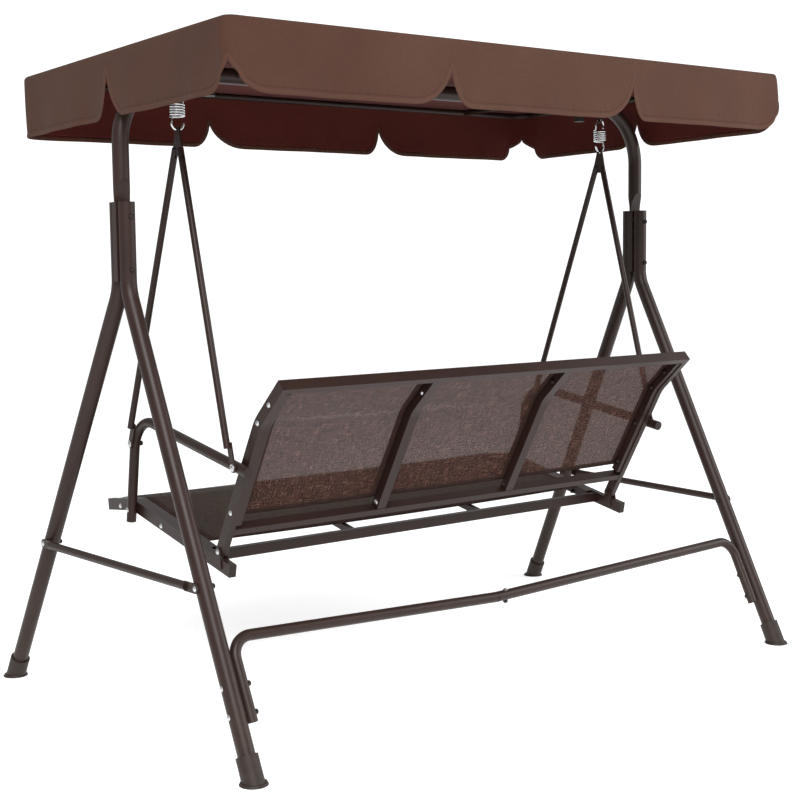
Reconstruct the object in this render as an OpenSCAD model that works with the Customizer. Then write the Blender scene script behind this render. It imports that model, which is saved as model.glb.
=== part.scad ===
// Three-seat canopy glider swing: two A-frames, a cross beam, a seat hung on springs, a tilting canopy.
// Millimetres. X is the width, the seat faces -Y, +Z is up. The origin is on the floor, at the centre
// of the four feet and straight below the cross beam.

/* [A-frames] */
// Distance from the centre to each upright
upright_x = 830; // [780:5:860]
// Distance from the centre to each front foot
front_foot_x = 908; // [880:1:920]
// Distance from the centre to each rear foot
rear_foot_x = 838; // [830:1:870]
// Distance from the beam's plane to the feet, forwards and backwards
foot_y = 526; // [500:1:560]
// Outer diameter of legs, uprights and beam
leg_d = 38; // [36:1:40]
// Wall thickness of every tube
wall = 1.5; // [1:0.1:2]
// Height at which the legs' straight lines meet
leg_knee_z = 995; // [980:1:1010]
// Height of the legs' upper ends
leg_top_z = 1193; // [1180:1:1210]
// Height of the cross beam's axis
beam_z = 1490; // [1480:1:1500]
// Radius of the bend between upright and beam, on the axis
beam_bend_r = 165; // [140:1:180]

/* [Braces] */
// Height of the side braces' bolts
brace_z = 373; // [350:1:400]
// Outer diameter of the side braces
brace_d = 19; // [16:1:22]
// Outer diameter of the lower cross tube
cross_d = 25; // [22:1:28]
// Height of the cross tube at its bent ends
cross_z = 270; // [260:1:285]
// How much lower the cross tube is at its middle joint
cross_sag = 24; // [0:1:30]

/* [Suspension] */
// Distance from the centre to each spring
spring_x = 684; // [676:1:690]
// Height of the swing's pivot, where the upper hook sits in its eye
pivot_z = 1450; // [1448:0.5:1451]
// Diameter of the spring wire
wire_d = 5; // [4:0.1:5.5]
// Radius of coils and hooks, on the wire's axis
coil_r = 15.5; // [14:0.5:17]
// Height of the lower hook's wire
hook_low_z = 1359.5; // [1355:0.5:1362]
// Outer diameter of the hanger rods
hanger_d = 16; // [14:1:18]

/* [Seat] */
// Distance from the centre to the side rails' axes
side_x = 643; // [635:1:648]
// Width of the side rails
rail_w = 18; // [16:1:20]
// Height of the side rails
rail_h = 30; // [25:1:32]
// Width of the backrest's posts and rails
post_w = 16; // [14:1:18]
// Depth of the backrest's posts and rails
post_d = 28; // [25:1:30]
// Distance from the centre to the backrest's inner posts
mid_x = 213; // [205:1:220]
// Outer diameter of the armrests
arm_d = 25; // [22:1:26]

/* [Canopy] */
// Width of the canopy
canopy_w = 1704; // [1700:1:1720]
// Distance from the beam's plane to the canopy's front edge
canopy_front = 515; // [500:1:530]
// Distance from the beam's plane to the canopy's rear edge
canopy_rear = 505; // [490:1:520]
// Length of the hanging flaps
flap_drop = 148; // [130:1:170]
// Tilt of the roof at rest, rear edge up
canopy_tilt = 1.12; // [0:0.1:3]
// Outer diameter of the canopy's tubes
canopy_tube_d = 16; // [14:1:16]

/* [Hidden] */

$fn = 48;

powder = [0.24, 0.20, 0.18];
brown_plastic = [0.16, 0.12, 0.11];
zinc = [0.80, 0.81, 0.82];
fabric_brown = [0.37, 0.27, 0.23];
mesh_brown = [0.43, 0.35, 0.31];

leg_r = leg_d / 2;
bore_r = leg_r - wall;
nest_y = leg_r + 2;
upright_bottom_z = 1015;
leg_bend_r = 110;
foot_z = 15;
leg_bolt_z = [1160, 1041];
bolt_r = 3;
bolt_hole_r = 3.2;
head_r = 6.5;
head_h = 3.6;
nut_r = 6;
nut_grip = 4.5;
shank_in_nut = 4.4;
gap = 0.3;

boot_flange_r = 31;
boot_flange_h = 5;
boot_sleeve_r = 24;
boot_len = 52;

insert_r = bore_r - 0.1;
beam_half = 560;
insert_len = 80;
beam_bolt_x = 530;

eye_wire_r = 2.8;
eye_r = 9;
eye_z = pivot_z - wire_d / 2 - gap - eye_wire_r + eye_r;

brace_tab_t = 3;
brace_tab_r = 11;
brace_tab_x = leg_r + brace_tab_t / 2 + gap;
// How far a flat nut stands off the front legs, which lean outwards
lean_clear = 0.7;
cross_low_z = 108;
cross_bolt_z = [180, 126];
cross_bend_r = 45;
cross_joint_x = 72;
cross_insert_len = 60;
cross_bolt_back = 30;

plate_t = 5;
hanger_r = hanger_d / 2;
hanger_low_x = side_x + 43.5;
hanger_tab_t = 4;
plate_hole_r = 4.2;
plate_hole_z = hook_low_z + wire_d / 2 - plate_hole_r + 0.25;
hanger_meet_z = 1352;
arm_x = side_x + 22;
hanger_tab_x = arm_x + arm_d / 2 + hanger_tab_t / 2 + 0.1;

// Side outlines of the seat's parts, each as [y, z]
rail_path = [[-482, 424], [-345, 440], [130, 346]];
rail_bend_r = 90;
post_path = [[82.5, 381], [264, 700], [364, 792]];
post_bend_r = 110;
arm_path = [[-329, 404], [-285, 677], [246, 589.5]];
arm_bend_r = 90;
// Distances of the post's bolts along its path; the armrest's is also the rear hanger's
arm_bolt_s = 249;
post_bolts_s = [118, arm_bolt_s, 369, 434];
hanger_bolts_yz = [[-293, 604], point_on(post_path, arm_bolt_s)];
pivot_bolt = [85, 385];

sling_rail_w = 18;
sling_rail_h = 24;
seat_fabric_t = 3;
mesh_t = 2.4;
mid_w = 26;
ear_t = 3;
cap_t = 3;
seat_inner = side_x - rail_w / 2;
back_inner = side_x - post_w / 2;
back_sling_w = 16;
support_w = 16;
rear_rail_at = [30, 366];
front_rail_at = [-466, 425];
rail_bolts_y = [-415, -325, -195, -40];

// ---- vector helpers -------------------------------------------------------------------------
function unit(v) = v / norm(v);
function turn(a, b, c) =
    let (d1 = unit(b - a), d2 = unit(c - b)) atan2(d1[0] * d2[1] - d1[1] * d2[0], d1 * d2);
function trim_at(p, i, r) =
    (i <= 0 || i >= len(p) - 1) ? 0 : r * tan(abs(turn(p[i - 1], p[i], p[i + 1])) / 2) - bend_lap;
function along(a, b, d) = a + unit(b - a) * d;
// A path lengthened by e at both ends
function longer(p, e) =
    [for (i = [0 : len(p) - 1])
        i == 0 ? along(p[0], p[1], -e) : i == len(p) - 1 ? along(p[i], p[i - 1], -e) : p[i]];

// ---- sweeps along a flat path with rounded corners --------------------------------------------
// Straight pieces run a little into each bend, and the bend is a hair thinner than they are
bend_lap = 0.3;
bend_shy = 0.05;
// A straight piece from a to b: a round rod, or a bar w across the path and t out of its plane
module rod_piece(a, b, r) {
    translate([a[0], a[1], 0])
        rotate([0, 90, atan2(b[1] - a[1], b[0] - a[0])])
            rotate([0, 0, 45])
                cylinder(r = r, h = norm(b - a));
}
module bar_piece(a, b, w, t) {
    translate([a[0], a[1], 0])
        rotate([0, 0, atan2(b[1] - a[1], b[0] - a[0])])
            translate([0, -w / 2, -t / 2])
                cube([norm(b - a), w, t]);
}
// The bend at corner b, as an arc of radius r on the path
module bend_piece(a, b, c, r) {
    th = turn(a, b, c);
    side = th > 0 ? 1 : -1;
    d1 = unit(b - a);
    normal = side * [-d1[1], d1[0]];
    start = b - d1 * r * tan(abs(th) / 2);
    centre = start + normal * r;
    from = atan2(-normal[1], -normal[0]);
    translate([centre[0], centre[1], 0])
        rotate([0, 0, th > 0 ? from : from + th])
            rotate_extrude(angle = abs(th), $fn = 96)
                translate([r, 0])
                    children();
}
module rod_path(p, rb, r) {
    for (i = [0 : len(p) - 2])
        rod_piece(along(p[i], p[i + 1], trim_at(p, i, rb)), along(p[i + 1], p[i], trim_at(p, i + 1, rb)), r);
    for (i = [1 : 1 : len(p) - 2])
        bend_piece(p[i - 1], p[i], p[i + 1], rb)
            circle(r = r - bend_shy);
}
module bar_path(p, rb, w, t) {
    for (i = [0 : len(p) - 2])
        bar_piece(along(p[i], p[i + 1], trim_at(p, i, rb)), along(p[i + 1], p[i], trim_at(p, i + 1, rb)), w, t);
    for (i = [1 : 1 : len(p) - 2])
        bend_piece(p[i - 1], p[i], p[i + 1], rb)
            square([w - 2 * bend_shy, t - 2 * bend_shy], center = true);
}
// Hollow versions: the bore runs through both ends
module tube_path(p, rb, r) {
    difference() {
        rod_path(p, rb, r);
        rod_path(longer(p, 1), rb, r - wall);
    }
}
module box_path(p, rb, w, t) {
    difference() {
        bar_path(p, rb, w, t);
        bar_path(longer(p, 1), rb, w - 2 * wall, t - 2 * wall);
    }
}
// Stands a flat [x, z] drawing up in the XZ plane
module upright_xz() {
    rotate([90, 0, 0])
        children();
}
// Stands a flat [y, z] drawing up in the YZ plane, at x
module upright_yz(x) {
    translate([x, 0, 0])
        rotate([90, 0, 90])
            children();
}
module mirrored(side) {
    scale_x = side > 0 ? 0 : 1;
    mirror([scale_x, 0, 0])
        children();
}

// ---- fasteners --------------------------------------------------------------------------------
// A domed head on the +X side of x0, its shank running to x1, along X
module bolt_x(x0, x1, y, z) {
    s = x0 > x1 ? 1 : -1;
    translate([x0, y, z])
        rotate([0, 90 * s, 0])
            intersection() {
                cylinder(r = head_r, h = head_h);
                translate([0, 0, head_h - 8.2])
                    sphere(r = 8.2);
            }
    translate([x0 > x1 ? x1 : x0 - head_h / 2, y, z])
        rotate([0, 90, 0])
            cylinder(r = bolt_r, h = abs(x1 - x0) + head_h / 2);
}
// A cap nut whose flat face is at x, pointing along dir
module cap_nut_x(x, y, z, dir) {
    translate([x, y, z])
        rotate([0, 90 * dir, 0])
            cap_nut();
}
module cap_nut() {
    difference() {
        union() {
            cylinder(r = nut_r, h = nut_grip);
            translate([0, 0, 3])
                sphere(r = 5);
        }
        translate([0, 0, -3])
            cylinder(r = bolt_r, h = 3 + nut_grip);
        translate([0, 0, -10])
            cylinder(r = 8, h = 10);
    }
}
module hole_x(x0, x1, y, z, r = bolt_hole_r) {
    translate([x0, y, z])
        rotate([0, 90, 0])
            cylinder(r = r, h = x1 - x0);
}
module hole_y(y0, y1, x, z, r = bolt_hole_r) {
    translate([x, y1, z])
        rotate([90, 0, 0])
            cylinder(r = r, h = y1 - y0);
}

// ---- A-frames -----------------------------------------------------------------------------------
// end is 1 for the rear leg and -1 for the front leg
function foot_x(end) = end > 0 ? rear_foot_x : front_foot_x;
function leg_reach(end) = norm([foot_x(end) - upright_x, foot_y - nest_y]);
function leg_turn(end) = atan2(end * (foot_y - nest_y), foot_x(end) - upright_x);
function leg_slope(end) = atan(leg_reach(end) / leg_knee_z);
// A point on the leg's lower straight, at height z
function leg_at(end, z) =
    let (k = (leg_knee_z - z) / leg_knee_z)
    [upright_x + (foot_x(end) - upright_x) * k, end * (nest_y + (foot_y - nest_y) * k), z];

// Puts children() drawn in the XZ plane, x away from the upright, into the leg's own plane
module leg_place(end) {
    translate([upright_x, end * nest_y, 0])
        rotate([0, 0, leg_turn(end)])
            upright_xz()
                children();
}
module leg(end) {
    reach = leg_reach(end);
    path = [[0, leg_top_z], [0, leg_knee_z], [reach * (1 - foot_z / leg_knee_z), foot_z]];
    color(powder)
        difference() {
            leg_place(end)
                tube_path(path, leg_bend_r, leg_r);
            for (z = leg_bolt_z)
                hole_y(-60, 60, upright_x, z);
            at = leg_at(end, brace_z);
            hole_x(at[0] - 40, at[0] + 40, at[1], at[2]);
            if (end > 0)
                for (z = cross_bolt_z)
                    hole_x(leg_at(end, z)[0] - 40, leg_at(end, z)[0] + 40, leg_at(end, z)[1], z);
        }
}
module boot(end) {
    base = leg_at(end, 0);
    color(brown_plastic)
        difference() {
            union() {
                translate([base[0], base[1], 0])
                    cylinder(r1 = boot_flange_r, r2 = boot_flange_r - 3, h = boot_flange_h);
                intersection() {
                    leg_place(end)
                        rod_piece([leg_reach(end) * (1 - boot_len / leg_knee_z), boot_len],
                                  [leg_reach(end) * (1 + 30 / leg_knee_z), -30], boot_sleeve_r);
                    translate([base[0], base[1], 0])
                        cylinder(r = 90, h = 90);
                }
            }
            leg_place(end)
                rod_piece([leg_reach(end) * (1 - 100 / leg_knee_z), 100],
                          [leg_reach(end) * (1 - foot_z / leg_knee_z), foot_z], leg_r + 0.1);
        }
}
// The upright's lower end is pinched between the two legs, its upper end bends into the beam
crush_r = 110;
crush_web = 2.6;
module upright() {
    pinch_w = 42;
    pinch_t = 20;
    plug_z = leg_top_z + 85;
    path = [[upright_x, plug_z], [upright_x, beam_z], [beam_half, beam_z]];
    color(powder)
        difference() {
            union() {
                difference() {
                    translate([upright_x - pinch_w / 2, -pinch_t / 2, upright_bottom_z])
                        cube([pinch_w, pinch_t, leg_top_z - upright_bottom_z]);
                    for (s = [-1, 1])
                        translate([upright_x, s * nest_y, upright_bottom_z - 1])
                            cylinder(r = leg_r + 0.1, h = leg_top_z - upright_bottom_z + 2);
                }
                difference() {
                    translate([upright_x, 0, leg_top_z])
                        cylinder(r = leg_r - bend_shy, h = plug_z + 20 - leg_top_z);
                    for (s = [-1, 1])
                        hole_x(upright_x - 40, upright_x + 40, s * (crush_r + crush_web), leg_top_z - 5, crush_r);
                }
                difference() {
                    upright_xz()
                        rod_path(path, beam_bend_r, leg_r);
                    upright_xz()
                        rod_path([path[0], path[1], [beam_half - 1, beam_z]], beam_bend_r, bore_r);
                }
                difference() {
                    union() {
                        hole_x(beam_half - insert_len, beam_half + 6, 0, beam_z, insert_r);
                        hole_x(beam_half + 2, beam_half + 12, 0, beam_z, bore_r + 0.5);
                    }
                    hole_x(beam_half - insert_len - 1, beam_half + 13, 0, beam_z, insert_r - wall);
                }
            }
            for (z = leg_bolt_z)
                hole_y(-30, 30, upright_x, z);
            hole_y(-30, 30, beam_bolt_x, beam_z);
        }
    spring_eye();
}
// The ring welded under the beam that carries the spring's upper hook
module spring_eye() {
    color(brown_plastic) {
        translate([spring_x, 0, eye_z])
            rotate([0, 90, 0])
                rotate_extrude()
                    translate([eye_r, 0])
                        circle(r = eye_wire_r);
        translate([spring_x, 0, eye_z + eye_r])
            cylinder(r = eye_wire_r + 0.7, h = beam_z - leg_r - eye_z - eye_r + 1);
    }
}
module top_beam() {
    color(powder)
        difference() {
            hole_x(-beam_half, beam_half, 0, beam_z, leg_r);
            hole_x(-beam_half - 1, beam_half + 1, 0, beam_z, bore_r);
            for (s = [-1, 1])
                hole_y(-30, 30, s * beam_bolt_x, beam_z);
        }
}

// ---- braces -------------------------------------------------------------------------------------
// A tube between the legs' outer faces, flattened where it is bolted
module side_brace() {
    tab_len = 34;
    tab_overlap = 8;
    front = leg_at(-1, brace_z) + [brace_tab_x, 0, 0];
    rear = leg_at(1, brace_z) + [brace_tab_x, 0, 0];
    span = norm(rear - front);
    color(powder)
        translate(front)
            rotate([0, 0, atan2(rear[1] - front[1], rear[0] - front[0])])
                difference() {
                    union() {
                        difference() {
                            rod_piece([tab_len, 0], [span - tab_len, 0], brace_d / 2);
                            rod_piece([tab_len + 1, 0], [span - tab_len - 1, 0], brace_d / 2 - wall);
                        }
                        for (x = [0, span]) {
                            translate([x, 0, 0])
                                rotate([90, 0, 0])
                                    cylinder(r = brace_tab_r, h = brace_tab_t, center = true);
                            to = x == 0 ? 0 : span - tab_len - tab_overlap;
                            translate([to, -brace_tab_t / 2, -brace_tab_r])
                                cube([tab_len + tab_overlap, brace_tab_t, 2 * brace_tab_r]);
                        }
                    }
                    for (x = [0, span])
                        translate([x, 10, 0])
                            rotate([90, 0, 0])
                                cylinder(r = bolt_hole_r + 0.4, h = 20);
                }
}

// The cross tube is drawn flat, x and height along the leg, and leant back with the rear legs
cross_end_x = leg_at(1, (cross_bolt_z[0] + cross_bolt_z[1]) / 2)[0] - leg_r - cross_d / 2 - 0.7;
cross_lean = atan((foot_y - nest_y) / leg_knee_z);
cross_y = leg_at(1, cross_z)[1];
cross_leg_len = (cross_z - cross_low_z) / cos(cross_lean);
cross_joint = [cross_joint_x, -cross_sag / cos(cross_lean)];
module cross_place() {
    translate([0, cross_y, cross_z])
        rotate([90 + cross_lean, 0, 0])
            children();
}
// side is 1 for the left half, whose reduced end slides into the right half
module cross_tube_half(side) {
    corner = [side * cross_end_x, 0];
    other = [-side * cross_end_x, 0];
    end = along(cross_joint, corner, 0.5);
    path = [[side * cross_end_x, -cross_leg_len], corner, end];
    insert_to = along(cross_joint, other, cross_insert_len);
    color(powder)
        difference() {
            cross_place() {
                tube_path(path, cross_bend_r, cross_d / 2);
                if (side > 0)
                    difference() {
                        union() {
                            rod_piece(along(end, corner, 12), end, cross_d / 2 - wall + 0.5);
                            rod_piece(along(end, corner, 3), insert_to, cross_insert_r);
                        }
                        rod_piece(along(end, insert_to, 6), along(insert_to, end, -1), cross_insert_r - wall);
                    }
            }
            for (z = cross_bolt_z)
                hole_x(side * cross_end_x - 30, side * cross_end_x + 30, leg_at(1, z)[1], z);
            cross_joint_at()
                cylinder(r = bolt_hole_r, h = 60, center = true);
        }
}
cross_insert_r = cross_d / 2 - wall - 0.15;
// The middle joint's bolt, on the right half's axis
module cross_joint_at() {
    at = along(cross_joint, [-cross_end_x, 0], cross_bolt_back);
    translate([at[0], cross_y - at[1] * sin(cross_lean), cross_z + at[1] * cos(cross_lean)])
        children();
}

// ---- frame fasteners ------------------------------------------------------------------------------
// Shanks along Y, heads at the front
module bolts_y(xs, zs, reach) {
    for (x = xs, z = zs)
        translate([x, 0, z])
            rotate([0, 0, -90])
                bolt_x(reach, -reach - shank_in_nut, 0, 0);
}
module nuts_y(xs, zs, reach) {
    for (x = xs, z = zs)
        translate([x, reach, z])
            rotate([-90, 0, 0])
                cap_nut();
}
module leg_bolts() {
    color(zinc)
        bolts_y([-upright_x, upright_x], leg_bolt_z, nest_y + leg_r);
}
module short_bolts() {
    color(zinc) {
        bolts_y([-beam_bolt_x, beam_bolt_x], [beam_z], leg_r);
        for (s = [-1, 1], end = [-1, 1]) {
            at = leg_at(end, brace_z);
            bolt_x(s * (at[0] + brace_tab_x + brace_tab_t / 2 + gap),
                   s * (at[0] - leg_r - shank_in_nut), at[1], at[2]);
        }
    }
}
module cross_tube_bolts() {
    color(zinc) {
        for (s = [-1, 1], z = cross_bolt_z) {
            at = leg_at(1, z);
            bolt_x(s * (at[0] + leg_r), s * (cross_end_x - cross_d / 2 - shank_in_nut), at[1], z);
        }
        cross_joint_at()
            rotate([0, -90, 0])
                bolt_x(cross_d / 2 + 0.1, -cross_d / 2 - 0.1 - shank_in_nut, 0, 0);
    }
}
module frame_cap_nuts() {
    color(brown_plastic) {
        nuts_y([-upright_x, upright_x], leg_bolt_z, nest_y + leg_r);
        nuts_y([-beam_bolt_x, beam_bolt_x], [beam_z], leg_r);
        for (s = [-1, 1], end = [-1, 1])
            cap_nut_x(s * (leg_at(end, brace_z)[0] - leg_r - (end < 0 ? lean_clear : 0)),
                      leg_at(end, brace_z)[1], brace_z, -s);
        for (s = [-1, 1], z = cross_bolt_z)
            cap_nut_x(s * (cross_end_x - cross_d / 2), leg_at(1, z)[1], z, -s);
        cross_joint_at()
            translate([0, 0, -cross_d / 2 - 0.1])
                rotate([180, 0, 0])
                    cap_nut();
    }
}

// ---- springs --------------------------------------------------------------------------------------
// One wire: the upper hook, the coil and the lower hook. Each entry is [point, outward direction].
coil_turns = 5.5;
coil_steps = 12;
hook_step = 15;
coil_top_z = pivot_z - 2 * coil_r + 2;
coil_low_z = hook_low_z + 2 * coil_r - 2;
function hook_entry(a, z) = [[coil_r * cos(a), 0, z + coil_r * sin(a)], [cos(a), 0, sin(a)]];
function coil_entry(k) =
    let (a = 180 + 360 * k / coil_steps,
         z = coil_top_z + (coil_low_z - coil_top_z) * k / (coil_turns * coil_steps))
    [[coil_r * cos(a), coil_r * sin(a), z], [cos(a), sin(a), 0]];
spring_line = concat(
    [for (a = [-30 : hook_step : 195]) hook_entry(a, pivot_z - coil_r)],
    [for (k = [0 : coil_turns * coil_steps]) coil_entry(k)],
    [for (a = [-15 : -hook_step : -210]) hook_entry(a + 30, hook_low_z + coil_r)]);

wire_sides = 8;
function wire_ring(i) =
    let (n = len(spring_line),
         t = unit(spring_line[min(i + 1, n - 1)][0] - spring_line[max(i - 1, 0)][0]),
         out = unit(spring_line[i][1] - t * (t * spring_line[i][1])),
         across = cross(t, out))
    [for (k = [0 : wire_sides - 1])
        spring_line[i][0] + (out * cos(360 * k / wire_sides) + across * sin(360 * k / wire_sides)) * wire_d / 2];
module spring() {
    n = len(spring_line);
    points = [for (i = [0 : n - 1]) each wire_ring(i)];
    sides = [for (i = [0 : n - 2], k = [0 : wire_sides - 1])
        let (next = (k + 1) % wire_sides)
        [i * wire_sides + k, (i + 1) * wire_sides + k, (i + 1) * wire_sides + next, i * wire_sides + next]];
    first = [for (k = [0 : wire_sides - 1]) k];
    last = [for (k = [wire_sides - 1 : -1 : 0]) (n - 1) * wire_sides + k];
    color(zinc)
        translate([spring_x, 0, 0])
            polyhedron(points = points, faces = concat(sides, [first], [last]));
}

// ---- hangers --------------------------------------------------------------------------------------
// end is 0 for the front rod and 1 for the rear rod
hanger_top_z = 1318;
hanger_plate_low_z = 1300;
hanger_tab_r = 11;
hanger_round_from = 46;
hanger_tab_len = 58;
function hanger_unit(end) = unit([0, hanger_meet_z] - hanger_bolts_yz[end]);
function hanger_on(end, z) = hanger_unit(end)[0] * (z - hanger_meet_z) / hanger_unit(end)[1];
module tube_between(a, b, r) {
    d = b - a;
    translate(a)
        rotate([0, acos(d[2] / norm(d)), atan2(d[1], d[0])])
            difference() {
                cylinder(r = r, h = norm(d));
                translate([0, 0, -1])
                    cylinder(r = r - wall, h = norm(d) + 2);
            }
}
module hanger_rod(end) {
    bolt = hanger_bolts_yz[end];
    low = bolt + hanger_unit(end) * hanger_round_from;
    color(powder)
        difference() {
            union() {
                tube_between([hanger_low_x, low[0], low[1]], [spring_x, hanger_on(end, hanger_top_z), hanger_top_z],
                             hanger_r);
                upright_yz(hanger_tab_x)
                    bar_piece(bolt, bolt + hanger_unit(end) * hanger_tab_len, 2 * hanger_tab_r - 4, hanger_tab_t);
                hole_x(hanger_tab_x - hanger_tab_t / 2, hanger_tab_x + hanger_tab_t / 2, bolt[0], bolt[1],
                       hanger_tab_r);
            }
            hole_x(hanger_tab_x - 20, hanger_tab_x + 20, bolt[0], bolt[1]);
            translate([spring_x - plate_t / 2 - 0.05, -60, hanger_plate_low_z - 4])
                cube([plate_t + 0.1, 120, 60]);
        }
}
// The gusset that joins both rods' tops and hangs on the spring's lower hook
module hanger_plate() {
    top_r = 9.5;
    color(powder)
        difference() {
            union() {
                hole_x(spring_x - plate_t / 2, spring_x + plate_t / 2, 0, plate_hole_z, top_r);
                upright_yz(spring_x)
                    translate([0, 0, -plate_t / 2])
                        linear_extrude(height = plate_t)
                            polygon([[-top_r, plate_hole_z], [-27, hanger_plate_low_z],
                                     [22, hanger_plate_low_z], [top_r, plate_hole_z]]);
            }
            hole_x(spring_x - 10, spring_x + 10, 0, plate_hole_z, plate_hole_r);
        }
}
module hanger_bolts() {
    outer = hanger_tab_x + hanger_tab_t / 2 + 1.6;
    color(zinc)
        for (s = [-1, 1], k = [0, 1]) {
            at = hanger_bolts_yz[k];
            nut_x = k == 0 ? arm_x - arm_d / 2 : back_nut_x;
            bolt_x(s * outer, s * (nut_x - shank_in_nut), at[0], at[1]);
            mirrored(s)
                difference() {
                    hole_x(outer - 1.5, outer, at[0], at[1], 9);
                    hole_x(outer - 2, outer + 1, at[0], at[1], bolt_r);
                }
        }
}

// ---- armrests -------------------------------------------------------------------------------------
module armrest() {
    color(powder)
        difference() {
            upright_yz(arm_x)
                tube_path(arm_path, arm_bend_r, arm_d / 2);
            for (at = concat(hanger_bolts_yz, [rail_bolt_at(rail_bolts_y[1])]))
                hole_x(arm_x - 30, arm_x + 30, at[0], at[1]);
        }
}
// Point at arc length s on an unrounded path
function point_on(p, s) =
    let (first = norm(p[1] - p[0]))
    s < first ? along(p[0], p[1], s) : along(p[1], p[2], s - first);
// A bolt in the side rail, a little below its middle
function rail_bolt_at(y) =
    let (p = rail_path, k = y < p[1][0] ? 0 : 1,
         z = p[k][1] + (p[k + 1][1] - p[k][1]) * (y - p[k][0]) / (p[k + 1][0] - p[k][0]))
    [y, z - 4];

// ---- seat frame -----------------------------------------------------------------------------------
function side_normal(a, b) = let (d = unit(b - a)) [-d[1], d[0]];
// A path moved d to its left: upwards for the rail, forwards for the posts
function shifted(p, d) =
    [for (i = [0 : len(p) - 1])
        let (n1 = side_normal(p[max(i - 1, 0)], p[max(i, 1)]),
             n2 = side_normal(p[min(i, len(p) - 2)], p[min(i + 1, len(p) - 1)]),
             m = unit(n1 + n2))
        p[i] + m * d / (m * n1)];
// A path shortened by a at its first end and by b at its last
function shortened(p, a, b) =
    let (n = len(p) - 1)
    [for (i = [0 : n]) i == 0 ? along(p[0], p[1], a) : i == n ? along(p[n], p[n - 1], b) : p[i]];

module seat_rail() {
    ear_r = 11;
    ear_sink = 0.5;
    ear_low = point_on_y(pivot_bolt[0] - 14, -6);
    ear_back = point_on_y(pivot_bolt[0] + 14, -6);
    color(powder)
        difference() {
            union() {
                upright_yz(side_x)
                    box_path(rail_path, rail_bend_r, rail_h, rail_w);
                for (x = [side_x - rail_w / 2 - ear_t, side_x + rail_w / 2 - ear_sink]) {
                    hole_x(x, x + ear_t + ear_sink, pivot_bolt[0], pivot_bolt[1], ear_r);
                    upright_yz(x)
                        linear_extrude(height = ear_t + ear_sink)
                            polygon([ear_low, ear_back, pivot_bolt + [ear_r - 1.5, 0], pivot_bolt - [ear_r - 1.5, 0]]);
                }
            }
            hole_x(side_x - 40, side_x + 40, pivot_bolt[0], pivot_bolt[1]);
            for (y = rail_bolts_y)
                hole_x(side_x - 40, side_x + 40, rail_bolt_at(y)[0], rail_bolt_at(y)[1]);
        }
}
// A point above (or below) the side rail's axis at y
function point_on_y(y, up) =
    let (p = rail_path, k = y < p[1][0] ? 0 : 1)
    [y, p[k][1] + (p[k + 1][1] - p[k][1]) * (y - p[k][0]) / (p[k + 1][0] - p[k][0]) + up];

module cross_rail(at, w, h) {
    color(powder)
        difference() {
            translate([-seat_inner + 0.05, at[0] - w / 2, at[1] - h / 2])
                cube([2 * seat_inner - 0.1, w, h]);
            translate([-seat_inner - 1, at[0] - w / 2 + wall, at[1] - h / 2 + wall])
                cube([2 * seat_inner + 2, w - 2 * wall, h - 2 * wall]);
        }
}
cross_rail_w = 20;
cross_rail_h = 25;
// A bar under the fabric, from the front rail to the rear rail
module seat_support() {
    path = shifted([[front_rail_at[0] + cross_rail_w / 2 + 0.1, point_on_y(front_rail_at[0] + 10.1, 0)[1]],
                    rail_path[1],
                    [rear_rail_at[0] - cross_rail_w / 2 - 0.1, point_on_y(rear_rail_at[0] - 10.1, 0)[1]]], -4);
    color(powder)
        difference() {
            upright_yz(mid_x)
                bar_path(longer(path, 6), rail_bend_r, support_w, support_w);
            upright_yz(mid_x)
                bar_path(longer(path, 8), rail_bend_r, support_w - 2 * wall, support_w - 2 * wall);
            for (at = [front_rail_at, rear_rail_at])
                translate([0, at[0] - cross_rail_w / 2 - 0.05, at[1] - 20])
                    cube([400, cross_rail_w + 0.1, 40]);
            translate([0, front_rail_at[0] - 30 - cross_rail_w / 2, front_rail_at[1] - 20])
                cube([400, 30, 40]);
            translate([0, rear_rail_at[0] + cross_rail_w / 2, rear_rail_at[1] - 20])
                cube([400, 30, 40]);
        }
}
seat_sling_path = shortened(rail_path, 6, 153);
module seat_sling_rail() {
    color(powder)
        difference() {
            upright_yz(seat_inner - sling_rail_w / 2 - 0.05)
                box_path(shifted(shortened(rail_path, 28, 117), 3), rail_bend_r, sling_rail_h, sling_rail_w);
            for (y = rail_bolts_y)
                hole_x(seat_inner - 40, seat_inner + 40, rail_bolt_at(y)[0], rail_bolt_at(y)[1]);
        }
}
seat_fabric_up = 12.8;
module seat_sling() {
    half = seat_inner - sling_rail_w - 0.3;
    color([0.27, 0.21, 0.16])
        upright_yz(0)
            bar_path(shifted(seat_sling_path, seat_fabric_up + seat_fabric_t / 2), rail_bend_r,
                     seat_fabric_t, 2 * half);
}

// ---- backrest -------------------------------------------------------------------------------------
post_top_angle = atan2(post_path[2][1] - post_path[1][1], post_path[2][0] - post_path[1][0]);
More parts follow.
